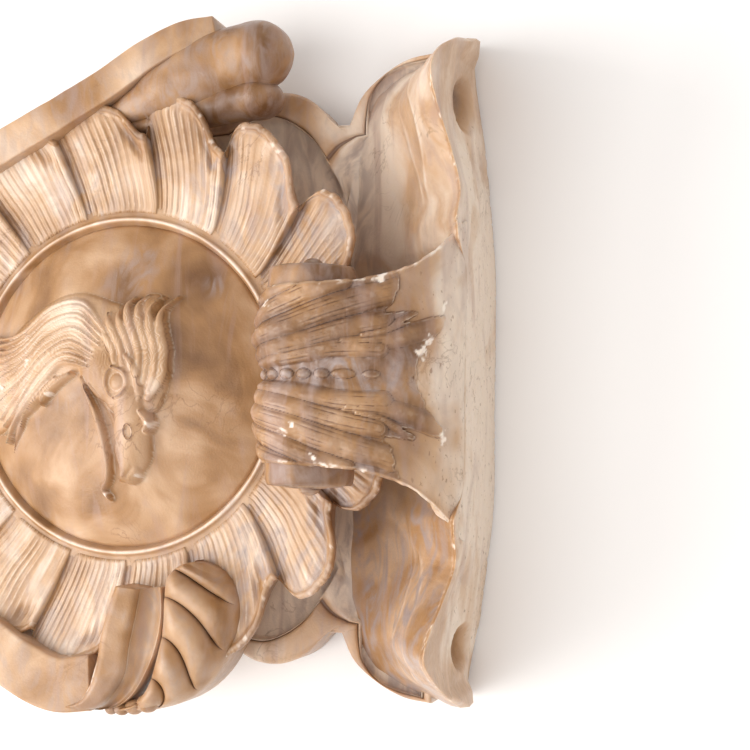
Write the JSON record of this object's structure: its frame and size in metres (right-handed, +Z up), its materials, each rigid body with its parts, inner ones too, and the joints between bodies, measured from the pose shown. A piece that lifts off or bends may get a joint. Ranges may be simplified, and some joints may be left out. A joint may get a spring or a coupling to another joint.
{
  "type": "carved stone wall bracket",
  "caption": "Carved stone wall bracket in the form of a rococo cartouche: a horned shelf on a leafy volute over a shell collar and a round boss with an eagle's head.",
  "frame": {"origin": "on the flat back, on the middle line and level with the centre of the round medallion", "axes": "+Z up, -Y out of the wall towards the viewer, +X to the viewer's right"},
  "size_m": [0.3224, 0.1284, 0.3784],
  "materials": {
    "alabaster": "honey-brown alabaster, hand carved and softly polished, with worn pale edges"
  },
  "bodies": {
    "root": {"bracket": "alabaster"}
  },
  "joints": []
}
